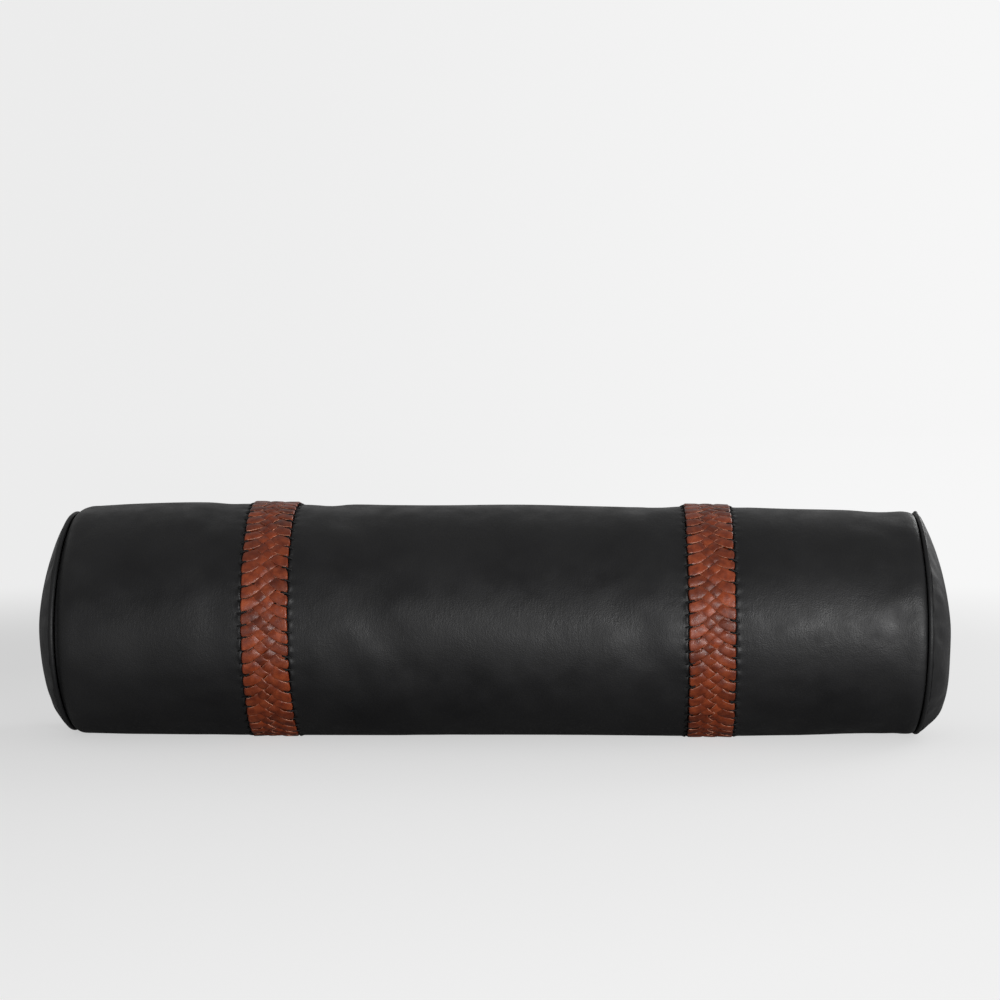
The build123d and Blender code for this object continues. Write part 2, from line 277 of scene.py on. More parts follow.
def inflate(points, faces, pins):
    """The closed skin blown up by its filling, held where pins is 1."""
    mesh = bpy.data.meshes.new("skin_pattern")
    mesh.from_pydata((points * MM).tolist(), [], faces)
    skin = add_object("skin_pattern", mesh)
    group = skin.vertex_groups.new(name="sewn")
    for weight in np.unique(np.round(pins, 2)):
        if weight > 0:
            group.add(np.flatnonzero(np.round(pins, 2) == weight).tolist(), float(weight), "REPLACE")
    cloth = skin.modifiers.new("Cloth", "CLOTH")
    for name, value in (("quality", 6), ("mass", 0.4), ("tension_stiffness", 25),
                        ("compression_stiffness", 25), ("shear_stiffness", 12), ("bending_stiffness", 2.5),
                        ("use_pressure", True), ("uniform_pressure_force", 4), ("shrink_min", -0.008),
                        ("vertex_group_mass", "sewn")):
        setattr(cloth.settings, name, value)
    cloth.settings.effector_weights.gravity = 0
    cloth.point_cache.frame_start, cloth.point_cache.frame_end = 1, 20
    for step in range(1, 21):
        scene.frame_set(step)
    evaluated = skin.evaluated_get(bpy.context.evaluated_depsgraph_get())
    result = np.zeros(len(points) * 3)
    evaluated.data.vertices.foreach_get("co", result)
    bpy.data.objects.remove(skin)
    bpy.data.meshes.remove(mesh)
    scene.frame_set(1)
    return result.reshape(-1, 3) / MM


def stuffed_relief():
    """How far the filling moves the tube outwards, and each cap outwards and along the pillow, as grids."""
    stations = np.linspace(left_seam, right_seam, sim_rows)
    angles = even_angles(sim_columns)
    x, theta = np.meshgrid(stations, angles, indexing="ij")
    tube = place(x, theta, section_radius(x, theta))
    held = [back_zone(x, theta), (tube[..., 2] < 2.0).astype(float)]
    for seam, band in ((left_seam, left_band), (right_seam, right_band)):
        from_band = np.abs(np.abs(x - sum(band) / 2) - 25)
        held += [smooth_step(1.4 - np.abs(x - seam) / 8), 0.9 * smooth_step(1.5 - from_band / 7)]
    held = np.maximum.reduce(held)
    parts, pins = [tube.reshape(-1, 3)], [held.reshape(-1)]
    faces = grid_faces(sim_rows, sim_columns, wrap_columns=True).tolist()
    size = start = sim_rows * sim_columns
    for side, seam, edge in ((-1, left_seam, 0), (1, right_seam, sim_rows - 1)):
        phi = np.linspace(0, BACK, sim_rings + 1)[:-1]
        radius, reach = cap_profile(phi, side)
        ring = place((seam + side * reach)[:, None], angles, radius[:, None])
        tip = seam + side * cap_profile(BACK, side)[1]
        parts += [ring.reshape(-1, 3), np.array([[tip, 0, axis_z]])]
        pins += [np.repeat((phi < 0.02).astype(float), sim_columns), [0.0]]
        rows = [edge * sim_columns] + [start + k * sim_columns for k in range(sim_rings)]
        for a, b in zip(rows, rows[1:]):
            for j in range(sim_columns):
                quad = (a + j, b + j, b + (j + 1) % sim_columns, a + (j + 1) % sim_columns)
                faces.append(quad if side > 0 else quad[::-1])
        apex = start + sim_rings * sim_columns
        for j in range(sim_columns):
            fan = (rows[-1] + j, apex, rows[-1] + (j + 1) % sim_columns)
            faces.append(fan if side > 0 else fan[::-1])
        start = apex + 1
    points = np.concatenate(parts)
    moved = inflate(points, faces, np.concatenate(pins)) - points
    angle = np.arctan2(points[:, 1], points[:, 2] - axis_z)
    radial = np.clip(moved[:, 1] * np.sin(angle) + moved[:, 2] * np.cos(angle), -8, 8)
    axial = np.clip(moved[:, 0], -8, 8)
    caps, at = {}, size
    for side in (-1, 1):
        span = slice(at, at + sim_rings * sim_columns)
        caps[side] = (radial[span].reshape(sim_rings, -1), side * axial[span].reshape(sim_rings, -1))
        at += sim_rings * sim_columns + 1
    return radial[:size].reshape(sim_rows, -1), caps


tube_radial, cap_moves = stuffed_relief()
tube_radial = tube_radial - tube_radial.mean() * (np.abs(tube_radial) > 0.05)
for smoothing in range(2):
    tube_radial[1:-1] = (tube_radial[:-2] + 2 * tube_radial[1:-1] + tube_radial[2:]) / 4
    tube_radial = (np.roll(tube_radial, 1, 1) + 2 * tube_radial + np.roll(tube_radial, -1, 1)) / 4
tube_radial = relief_limit * np.tanh(tube_radial / relief_limit)


def skin_radius(x, theta, clearance=0.0):
    """Distance of the leather's outside from the CAD axis."""
    row = (x - left_seam) / (right_seam - left_seam) * (sim_rows - 1)
    column = (theta % TURN) / TURN * sim_columns
    relief = sample(tube_radial, np.clip(row, 0, sim_rows - 1), column)
    for band in (left_band, right_band):
        relief = relief * (0.35 + 0.65 * smooth_step((np.abs(x - sum(band) / 2) - 24) / 22))
    bare = section_radius(x, theta, clearance) + relief * (1 - back_zone(x, theta))
    return np.minimum(bare + unevenness(x, theta), floor_limit(theta, clearance))


def on_skin(x, theta, height=0.0, clearance=0.0):
    """Points height above the leather, pressed in where the pillow rests."""
    return place(x, theta, skin_radius(x, theta, clearance) + height)


# ---- mesh building

def grid_normals(grid):
    """Unit normals of a grid of points."""
    normal = np.cross(np.gradient(grid, axis=0), np.gradient(grid, axis=1))
    return normal / np.maximum(np.linalg.norm(normal, axis=-1, keepdims=True), 1e-9)


def make_piece(name, points, faces, materials, nodes=(), face_material=None, tone=None):
    """A mesh object that rides on the cover and the CAD nodes that it stands for."""
    mesh = bpy.data.meshes.new(name)
    mesh.from_pydata((np.asarray(points) * MM).tolist(), [], [list(map(int, f)) for f in faces])
    mesh.polygons.foreach_set("use_smooth", np.ones(len(mesh.polygons), bool))
    for material in materials:
        mesh.materials.append(material)
    if face_material is not None:
        mesh.polygons.foreach_set("material_index", np.asarray(face_material, np.int32))
    if tone is not None:
        mesh.attributes.new("tone", "FLOAT", "POINT").data.foreach_set("value", np.asarray(tone, np.float32))
    mesh.validate()
    piece = add_object(name, mesh)
    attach(piece, "cover")
    if nodes:
        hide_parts(*nodes)
    return piece


def sheet_solid(outer, thickness):
    """A closed sheet of material under an open grid of outside points."""
    rows, columns = outer.shape[:2]
    inner = outer - grid_normals(outer) * thickness
    count = rows * columns
    index = np.arange(count).reshape(rows, columns)
    rim = np.concatenate([index[0, :], index[1:, -1], index[-1, -2::-1], index[-2:0:-1, 0]])
    after = np.roll(rim, -1)
    faces = [grid_faces(rows, columns), grid_faces(rows, columns, count, flip=True),
             np.stack([rim, after, after + count, rim + count], -1)]
    return np.concatenate([outer.reshape(-1, 3), inner.reshape(-1, 3)]), np.concatenate(faces)


def ring_solid(profile_rows):
    """A closed solid swept round the axis: profile_rows[k, j] is profile point k at angle j."""
    loops, columns = profile_rows.shape[:2]
    faces = grid_faces(loops, columns, wrap_rows=True, wrap_columns=True)
    return profile_rows.reshape(-1, 3), faces


def tube_along(path, radius, sides):
    """A round tube along a row of points, with closed ends."""
    ahead = np.gradient(path, axis=0)
    ahead /= np.linalg.norm(ahead, axis=1, keepdims=True)
    out = path * [0, 1, 1] - [0, 0, axis_z]
    out -= (out * ahead).sum(1, keepdims=True) * ahead
    out /= np.maximum(np.linalg.norm(out, axis=1, keepdims=True), 1e-9)
    across = np.cross(ahead, out)
    turn = even_angles(sides)
    radius = np.broadcast_to(radius, len(path))[:, None, None]
    points = path[:, None] + radius * (np.cos(turn)[None, :, None] * out[:, None]
                                       + np.sin(turn)[None, :, None] * across[:, None])
    points = points.reshape(-1, 3)
    faces = list(grid_faces(len(path), sides, wrap_columns=True, flip=True))
    faces += [list(range(sides)), list(range(len(points) - 1, len(points) - sides - 1, -1))]
    return points, faces


def dome_solid(outer, inner, outer_apex, inner_apex, flip):
    """A closed dome between two grids of rings, each counted from the rim towards its apex."""
    rows, columns = outer.shape[:2]
    count = rows * columns
    points = np.concatenate([outer.reshape(-1, 3), inner.reshape(-1, 3), [outer_apex, inner_apex]])
    faces = list(grid_faces(rows, columns, wrap_columns=True, flip=flip))
    faces += list(grid_faces(rows, columns, count, wrap_columns=True, flip=not flip))
    last = count - columns
    for j in range(columns):
        k = (j + 1) % columns
        ring = [[j, k, k + count, j + count], [last + j, 2 * count, last + k],
                [count + last + k, 2 * count + 1, count + last + j]]
        faces += [face[::-1] for face in ring] if flip else ring
    return points, faces


def merge(parts):
    """Several (points, faces) as one."""
    points, faces, start = [], [], 0
    for part_points, part_faces in parts:
        points.append(part_points)
        faces += [[int(v) + start for v in f] for f in part_faces]
        start += len(part_points)
    return np.concatenate(points), faces


# ---- materials

def feed(tree, node, name, value):
    """Gives an input of a node a value or the output of another node."""
    if isinstance(value, bpy.types.NodeSocket):
        tree.links.new(value, node.inputs[name])
    else:
        node.inputs[name].default_value = value


def add_node(tree, kind, inputs, output=0, **settings):
    """A shader node whose inputs are values or the outputs of other nodes. Gives one of its own outputs."""
    node = tree.nodes.new("ShaderNode" + kind)
    for name, value in settings.items():
        setattr(node, name, value)
    for name, value in inputs.items():
        feed(tree, node, name, value)
    return node.outputs[output]


def map_range(tree, source, low, high, to_low=0.0, to_high=1.0, curve="LINEAR"):
    """A value brought from low .. high to to_low .. to_high."""
    inputs = {"Value": source, "From Min": low, "From Max": high, "To Min": to_low, "To Max": to_high}
    return add_node(tree, "MapRange", inputs, "Result", interpolation_type=curve)


class Finish:
    """One procedural material, with the shader and object coordinates ready."""

    def __init__(self, name, colour, roughness, specular=0.5):
        self.material = bpy.data.materials.new(name)
        self.material.use_nodes = True
        self.tree = self.material.node_tree
        self.shader = self.tree.nodes["Principled BSDF"]
        self.set("Base Color", (*colour, 1))
        self.set("Roughness", roughness)
        self.set("Specular IOR Level", specular)
        self.place = add_node(self.tree, "TexCoord", {}, "Object")
        self.normal = None

    def noise(self, scale, detail=3, distortion=0.0, stretch=(1, 1, 1)):
        vector = add_node(self.tree, "VectorMath", {0: self.place, 1: stretch}, operation="MULTIPLY")
        inputs = {"Vector": vector, "Scale": scale, "Detail": detail, "Distortion": distortion}
        return add_node(self.tree, "TexNoise", inputs, "Fac")

    def cells(self, scale, feature="F1"):
        inputs = {"Vector": self.place, "Scale": scale}
        return add_node(self.tree, "TexVoronoi", inputs, "Distance", feature=feature)

    def wave(self, scale, direction, distortion=0.0):
        inputs = {"Vector": self.place, "Scale": scale, "Distortion": distortion}
        return add_node(self.tree, "TexWave", inputs, "Fac", bands_direction=direction)

    def spread(self, source, low, high, to_low=0.0, to_high=1.0, curve="LINEAR"):
        return map_range(self.tree, source, low, high, to_low, to_high, curve)

    def colours(self, source, stops):
        node = self.tree.nodes.new("ShaderNodeValToRGB")
        ramp = node.color_ramp
        while len(ramp.elements) < len(stops):
            ramp.elements.new(0.5)
        for element, (position, colour) in zip(ramp.elements, stops):
            element.position = position
            element.color = (*colour, 1)
        feed(self.tree, node, "Fac", source)
        return node.outputs["Color"]

    def shades(self, source, dark, light, low=0.3, high=0.7):
        return self.colours(source, [(low, dark), (high, light)])

    def blend(self, factor, first, second, mode="MIX"):
        first, second = ((*c, 1) if isinstance(c, tuple) else c for c in (first, second))
        inputs = {0: factor, 6: first, 7: second}
        return add_node(self.tree, "Mix", inputs, 2, data_type="RGBA", blend_type=mode)

    def bump(self, source, depth, strength=1.0):
        """Adds relief of depth millimetres."""
        inputs = {"Strength": strength, "Distance": depth * MM, "Height": source}
        if self.normal is not None:
            inputs["Normal"] = self.normal
        self.normal = add_node(self.tree, "Bump", inputs, "Normal")
        self.set("Normal", self.normal)

    def set(self, name, value):
        feed(self.tree, self.shader, name, value)


def black_leather():
    f = Finish("black_leather", (0.0085, 0.0085, 0.009), 0.46, 0.3)
    f.set("Base Color", f.shades(f.noise(11, 5), (0.0055, 0.0055, 0.006), (0.012, 0.012, 0.0125)))
    f.set("Roughness", f.spread(f.noise(45, 5), 0.3, 0.7, 0.4, 0.58))
    f.bump(f.noise(28, 3, 0.8), 1.2, 0.3)
    f.bump(f.noise(85, 4, 0.6), 0.6, 0.35)
    f.bump(f.cells(160, "DISTANCE_TO_EDGE"), 0.5, 0.14)
    f.bump(f.noise(430, 4, 0.4, (1, 0.24, 0.24)), 0.4, 0.4)
    f.bump(f.cells(800), 0.3, 0.4)
    return f.material


def braid_leather():
    f = Finish("braid_leather", (0.15, 0.026, 0.007), 0.36, 0.4)
    patches = f.colours(f.noise(120, 5), [(0.25, (0.075, 0.011, 0.0035)), (0.5, (0.16, 0.028, 0.0075)),
                                          (0.75, (0.245, 0.052, 0.016))])
    strip_tone = add_node(f.tree, "Attribute", {}, "Fac", attribute_name="tone")
    tone = f.shades(strip_tone, (0.6, 0.56, 0.55), (1.35, 1.3, 1.25), 0.0, 1.0)
    f.set("Base Color", f.blend(1.0, patches, tone, "MULTIPLY"))
    f.set("Roughness", f.spread(f.noise(160, 4), 0.3, 0.7, 0.25, 0.5))
    f.bump(f.noise(170, 3), 1.2, 0.4)
    f.bump(f.cells(1300), 0.2, 0.45)
    return f.material


def cut_edge_and_highlight():
    # The pale colour is partly the raw cut leather's own and partly a painted highlight, lightened to the
    # bright lines along the strip edges.
    f = Finish("braid_cut_edge_and_highlight", (0.4, 0.17, 0.1), 0.7, 0.3)
    f.set("Base Color", f.shades(f.noise(260, 4), (0.14, 0.03, 0.012), (0.55, 0.26, 0.17), 0.4, 0.66))
    f.bump(f.noise(2200, 3), 0.15, 0.5)
    return f.material


def waxed_thread(name, dark, light, specular=0.4):
    f = Finish(name, light, 0.5, specular)
    f.set("Base Color", f.shades(f.noise(900, 3), dark, light))
    f.bump(f.wave(900, "DIAGONAL", 1.5), 0.15, 0.6)
    return f.material


def woven(name, dark, light, scale, depth, roughness=0.85):
    f = Finish(name, light, roughness, 0.25)
    over = f.wave(scale, "X", 0.6)
    under = f.wave(scale, "Z", 0.6)
    threads = f.blend(0.5, over, under)
    patches = f.shades(f.noise(140, 5), dark, light)
    f.set("Base Color", f.blend(0.5, patches, f.shades(threads, dark, light, 0.2, 0.8)))
    f.bump(over, depth, 0.6)
    f.bump(under, depth, 0.6)
    f.set("Sheen Weight", 0.2)
    return f.material


def coil_plastic():
    f = Finish("zip_coil", (0.02, 0.02, 0.021), 0.35, 0.5)
    f.set("Roughness", f.spread(f.noise(500, 3), 0.3, 0.7, 0.28, 0.45))
    f.set("Base Color", f.shades(f.noise(300, 3), (0.014, 0.014, 0.015), (0.028, 0.028, 0.03)))
    return f.material


def aged_brass():
    f = Finish("zip_brass", (0.42, 0.29, 0.12), 0.34, 0.5)
    f.set("Metallic", 1.0)
    f.set("Base Color", f.shades(f.noise(220, 5), (0.2, 0.125, 0.05), (0.52, 0.37, 0.16)))
    f.set("Roughness", f.spread(f.noise(700, 4), 0.3, 0.7, 0.26, 0.5))
    f.bump(f.noise(1500, 3), 0.05, 0.4)
    return f.material


def axes(tree, vector):
    """The X, Y and Z of a vector."""
    return [add_node(tree, "SeparateXYZ", {"Vector": vector}, axis) for axis in "XYZ"]


def sideways_glow(tree, direction):
    """How bright the room looks in a direction, and how far back the direction points."""
    x, y, z = axes(tree, add_node(tree, "VectorMath", {0: direction}, operation="NORMALIZE"))
    return map_range(tree, x, -0.25, 0.25, *ROOM_GLOW, "SMOOTHSTEP"), y


def seen_or_cast(tree, seen, cast):
    """One brightness as the camera sees it, and another for the light that reaches the pillow."""
    camera_ray = add_node(tree, "LightPath", {}, "Is Camera Ray")
    return add_node(tree, "Mix", {0: camera_ray, 2: cast, 3: seen})


def floor_finish():
    """Pale floor that fades into the room far away, with a painted glow: brighter to the right and front
    where the camera sees it, and lighting the pillow with a painted shadow close to it and a painted pool of
    light further in front.
    """
    white = (FLOOR_WHITE,) * 3
    f = Finish("floor_pale", white, 0.8, 0.0)
    distance = add_node(f.tree, "VectorMath", {0: f.place}, "Value", operation="LENGTH")
    away = f.spread(distance, *ROOM_FADE, curve="SMOOTHSTEP")
    x, y, z = axes(f.tree, f.place)
    near_glow = f.spread(add_node(f.tree, "Math", {0: x, 1: y}, operation="SUBTRACT"), -1.2, 1.2, *FLOOR_GLOW)
    far_glow, depth = sideways_glow(f.tree, f.place)
    seen = add_node(f.tree, "Mix", {0: away, 2: near_glow, 3: far_glow})
    # The floor glows though it is no lamp: painted light as the camera sees it, and a painted glow on the
    # pillow, dim close to and behind it as a painted shadow, bright further in front.
    f.set("Emission Strength", seen_or_cast(f.tree, seen, f.spread(y, -0.2, -0.5, *FLOOR_CAST)))
    f.set("Emission Color", (1, 1, 1, 1))
    f.set("Base Color", f.blend(away, white, (0.0, 0.0, 0.0)))
    return f.material


LEATHER = black_leather()
BRAID = braid_leather()
CUT_EDGE_AND_HIGHLIGHT = cut_edge_and_highlight()
THREAD = waxed_thread("black_thread", (0.003, 0.003, 0.003), (0.008, 0.008, 0.0085), 0.25)
INSERT_THREAD = waxed_thread("insert_thread", (0.5, 0.48, 0.44), (0.72, 0.7, 0.65))
# Near black: the canvas's own dark colour, darkened further as painted shade where it shows down the gaps of
# the braid.
CANVAS_AND_SHADE = woven("backing_canvas", (0.012, 0.01, 0.009), (0.04, 0.035, 0.03), 480, 0.2)
TICKING = woven("insert_ticking", (0.55, 0.53, 0.48), (0.75, 0.73, 0.68), 620, 0.12)
TAPE = woven("zip_tape", (0.008, 0.008, 0.009), (0.03, 0.03, 0.032), 700, 0.15)
FILLING = woven("insert_filling", (0.7, 0.7, 0.69), (0.85, 0.85, 0.84), 60, 0.8, 0.95)
CORD = waxed_thread("piping_cord", (0.42, 0.38, 0.3), (0.66, 0.62, 0.52))
COIL = coil_plastic()
BRASS = aged_brass()


# ---- leather panels

EDGE_STEPS = [0, 0.35, 0.7, 1.1, 1.6, 2.2, 3, 4, 5.2, 6.6, 8.4, 10.6, 13.4, 17, 21.5, 27]


def rows_between(length, near, step):
    """Distances from one edge, close together near both edges."""
    near = [e for e in near if e < length / 2]
    inside = np.linspace(near[-1], length - near[-1], max(3, int((length - 2 * near[-1]) / step) + 1))
    return np.concatenate([near[:-1], inside, length - np.array(near[:-1])[::-1]])


def tilt_shift(theta, tilt):
    """A band that isn't quite square to the pillow drifts along it towards the floor."""
    return tilt * (1 - np.cos(theta))


def stitch_pull(theta, at_gaps):
    """1 where a whip stitch pulls the leather and 0 halfway between; at_gaps shifts by half a pitch."""
    phase = folds_per_turn * theta + (math.pi if at_gaps else 0)
    return (0.5 + 0.5 * np.cos(phase)) ** 1.5


def half_gap(x, is_centre):
    """Half of the opening between the leather edges at the back, closed over the ends of the zip tapes."""
    if not is_centre:
        return np.full_like(x, seam_half_gap)
    inside = np.minimum(x - slit[0], slit[1] - x)
    return seam_half_gap + (slit_half_width - seam_half_gap) * np.sqrt(smooth_step(inside / 5 - 0.3))


def leather_panel(name, node, low, high, low_kind, high_kind):
    """One black panel. An edge kind is "seam", or the tilt and stitch phase of the band beside it."""
    is_centre = node == "centre_panel"
    along = rows_between(high - low, EDGE_STEPS, 7.0) / (high - low)
    girth = TURN * body_radius
    around = rows_between(girth, [0, 0.35, 0.7, 1.1, 1.6, 2.2, 3, 4.2, 6], girth / 480) / girth
    u, t = np.meshgrid(along, around, indexing="ij")
    gap = half_gap(low + (high - low) * u, is_centre) / body_radius
    theta = BACK + gap + (TURN - 2 * gap) * t
    starts = [low, high]
    for k, kind in enumerate((low_kind, high_kind)):
        toward = 1 if k else -1
        if kind == "seam":
            starts[k] = starts[k] + seam_bow(toward, theta)
        else:
            tilt, at_gaps = kind
            lap = 0.6 + 1.6 * stitch_pull(theta, at_gaps) + 0.25 * np.sin(17 * theta + 2 * k)
            starts[k] = starts[k] + tilt_shift(theta, tilt) + toward * lap
    x = starts[0] + (starts[1] - starts[0]) * u
    r = skin_radius(x, theta)
    for k, kind in enumerate((low_kind, high_kind)):
        edge = (x - starts[0]) if k == 0 else (starts[1] - x)
        if kind == "seam":
            gather = 0.5 + 0.3 * np.sin(41 * theta + 0.6) + 0.2 * np.sin(67 * theta)
            turned_in = 9.0 * np.exp(-(edge / 1.5) ** 2)
            r = r - turned_in - 0.35 * gather * np.exp(-edge / 7)
        else:
            pull = stitch_pull(theta, kind[1])
            turned_in = (1.9 + 0.7 * pull) * np.exp(-(edge / 1.4) ** 2)
            dimple = 1.5 * pull * np.exp(-edge / 4.0)
            puff = (0.85 + 0.3 * np.sin(13 * theta)) * (1 - pull) * np.exp(-((edge - 2.9) / 2.0) ** 2)
            r = r - turned_in - dimple + puff
    side = np.minimum(t, 1 - t) * girth
    open_part = smooth_step((gap * body_radius - 1) / 4)
    turned_in = (1.6 * (1 - open_part) + 0.55 * open_part) * np.exp(-(side / 1.1) ** 2)
    r = r - turned_in
    points, faces = sheet_solid(place(x, theta, np.minimum(r, floor_limit(theta))), leather)
    piece = make_piece(name, points, faces, [LEATHER], [node])
    return piece


leather_panel("left_panel_skin", "left_panel", left_seam + panel_end_inset, left_band[0], "seam",
              (LEFT_TILT, True))
leather_panel("centre_panel_skin", "centre_panel", left_band[1], right_band[0], (LEFT_TILT, False),
              (RIGHT_TILT, True))
leather_panel("right_panel_skin", "right_panel", right_band[1], right_seam - panel_end_inset,
              (RIGHT_TILT, False), "seam")


# ---- end caps and piping

# Long soft folds from the rim of each cap: (angle, height, half width, reach inwards)
CAP_FOLDS = {
    -1: [(3.7, 0.9, 7, 40), (4.2, -1.0, 6, 34), (4.75, 0.6, 9, 46), (5.4, -0.9, 8, 36), (0.3, 1.1, 9, 50),
         (0.8, -1.2, 8, 44), (1.25, 1.2, 9, 56), (1.75, -1.0, 7, 40), (2.3, 1.2, 9, 54), (2.9, -1.1, 8, 44)],
    1: [(3.55, 1.6, 7, 44), (3.95, -1.8, 6, 40), (4.3, 1.4, 8, 50), (4.72, -1.5, 7, 42), (5.15, 1.3, 9, 52),
        (5.6, -1.4, 8, 40), (0.1, 1.3, 9, 48), (0.65, -1.4, 8, 44), (1.2, 1.4, 10, 58), (1.75, -1.3, 8, 46),
        (2.3, 1.4, 9, 52), (2.8, -1.5, 8, 44)],
}


def end_cap(name, node, side, seam, crease):
    """A domed end with puckers and folds at its rim and a swollen lower half."""
    angles = even_angles(300)
    phi = np.concatenate([np.linspace(0, 0.5, 26), np.linspace(0.5, BACK, 40)[1:-1]])
    radius, reach = cap_profile(phi, side)
    tuck_radius, tuck_reach = [103.5, 105.6, 107.6], [1.3, 2.2, 2.5]
    row = np.concatenate([np.zeros(len(tuck_radius)), phi / BACK * sim_rings])
    radius, reach = np.concatenate([tuck_radius, radius]), np.concatenate([tuck_reach, reach])[:, None]
    row, theta = np.meshgrid(np.clip(row, 0, sim_rings - 1), angles, indexing="ij")
    moved_r, moved_x = (sample(g, row, theta / TURN * sim_columns) for g in cap_moves[side])
    rho = (radius / cap_rim)[:, None]
    free = np.minimum(3 * np.clip(1 - rho ** 2, 0, 1), 1)
    inward = np.clip(cap_rim - radius, 0, None)[:, None]
    swell = DOME_SWELL[side] * np.exp(-((-np.cos(theta) * rho - 0.78) / 0.46) ** 2) * (1 - rho ** 9)
    puckers = (np.sin(23 * theta + 0.5) + 0.7 * np.sin(37 * theta + 2) + 0.6 * np.sin(11 * theta + 1))
    fade = np.exp(-inward / 14) * (1 - np.exp(-(inward + 0.4) / 1.6))
    folds = crease * (1 + 0.5 * np.cos(theta - 1.35 * math.pi)) * puckers * fade
    for angle, height, half_width, length in CAP_FOLDS[side]:
        bent = wrapped(theta - angle + 0.004 * inward) * radius[:, None] / half_width
        folds = folds + height * np.exp(-bent ** 2) * np.exp(-((inward / length - 0.35) / 0.3) ** 2)
    folds[:len(tuck_radius)] = 0
    off_apex = 1 - np.exp(-(rho / 0.25) ** 2)
    grown = swell + folds + 0.3 * np.clip(moved_x, -4, 4) * free * off_apex
    r = radius[:, None] + 0.4 * moved_r * free
    outer = place(seam + seam_bow(side, theta) + side * (reach + grown), theta, r)
    inwards = np.array([side * leather, 0, 0])
    inner = outer - inwards
    inner[..., 1:] -= 0.9 * leather * (outer[..., 1:] - [0, axis_z]) / np.maximum(radius, 12)[:, None, None]
    apex = outer[-1].mean(0)
    points, faces = dome_solid(outer, inner, apex, apex - inwards, side < 0)
    piece = make_piece(name, points, faces, [LEATHER], [node])
    return piece


for side_name, side, seam, crease in (("left", -1, left_seam, 0.22), ("right", 1, right_seam, 0.4)):
    end_cap(f"{side_name}_end_cap_skin", f"{side_name}_end_cap", side, seam, crease)


def folded_strip_profile():
    """Cross-section of the leather strip folded round the cord: (station, radius) pairs in order."""
    wrap = np.radians(np.linspace(-65, 245, 17))
    outside = np.stack([piping_radius * np.cos(wrap), piping_ring + piping_radius * np.sin(wrap)], -1)
    skin = piping_radius - 1.0
    inside = np.stack([skin * np.cos(wrap[::-1]), piping_ring + skin * np.sin(wrap[::-1])], -1)
    return np.concatenate([[[1.0, flange_radius]], outside, [[-1.0, flange_radius], [-0.04, flange_radius]],
                           inside, [[0.04, flange_radius]]])


def piping(name, node, side, seam, joint):
    """The piping round one end, with a small lump where its ends overlap."""
    angles = even_angles(300)
    profile = folded_strip_profile()
    free = 0.5 + 0.5 * np.cos(angles)
    rise = 0.2 * np.sin(7 * angles + seam) * free + joint * np.exp(-(np.degrees(wrapped(angles)) / 1.7) ** 2)
    rows = place(seam + profile[:, :1] + seam_bow(side, angles), angles[None, :], profile[:, 1:] + rise)
    points, faces = ring_solid(rows)
    return make_piece(name, points, faces, [LEATHER], [node])


for side_name, side, seam, joint in (("left", -1, left_seam, 0.0), ("right", 1, right_seam, 1.6)):
    piping(f"{side_name}_piping_leather", f"{side_name}_piping_cover", side, seam, joint)


def twisted_cord(name, node, side, seam):
    """The three-ply cord inside the piping."""
    angles, around = even_angles(480), even_angles(18)
    radius = 1.22 * (1 + 0.1 * np.cos(3 * (around[:, None] - 60 * angles)))
    rows = place(seam + seam_bow(side, angles) + radius * np.cos(around)[:, None], angles[None, :],
                 piping_ring + radius * np.sin(around)[:, None])
    points, faces = ring_solid(rows)
    return make_piece(name, points, faces, [CORD], [node])


twisted_cord("left_piping_ply", "left_piping_cord", -1, left_seam)
twisted_cord("right_piping_ply", "right_piping_cord", 1, right_seam)


# ---- braids

def strand_slope(across, steepest):
    """Slope of a strand: flatter at the band's edges and steeper in the middle."""
    return edge_slope + steepest * (1 - across ** 2) ** 2


def rise_fraction(across, steepest):
    """How much of its advance a strand has made at across, from -1 at its start edge to 1."""
    risen = edge_slope * across + steepest * (across - across ** 3 * 2 / 3 + 0.2 * across ** 5)
    return 0.5 + 0.5 * risen / (edge_slope + steepest * 8 / 15)


def weave_height(crossing):
    """1 on top and -1 underneath: over at the first crossing, under at the second, and so on."""
    held = np.clip(crossing, 1, strand_count - 1)
    return np.clip(1.35 * np.cos(math.pi * (held - 1)), -1, 1)


def fold_steps(half_band):
    """Distances across one pass of the band, close together at the two folds."""
    near = list(np.linspace(0, fold_bend, 5)) + [1.9, 2.8, 4.0, 5.4]
    width = 2 * half_band
    inside = np.linspace(near[-1], width - near[-1], 18)
    return np.concatenate([near[:-1], inside, width - np.array(near[1:-1])[::-1]])


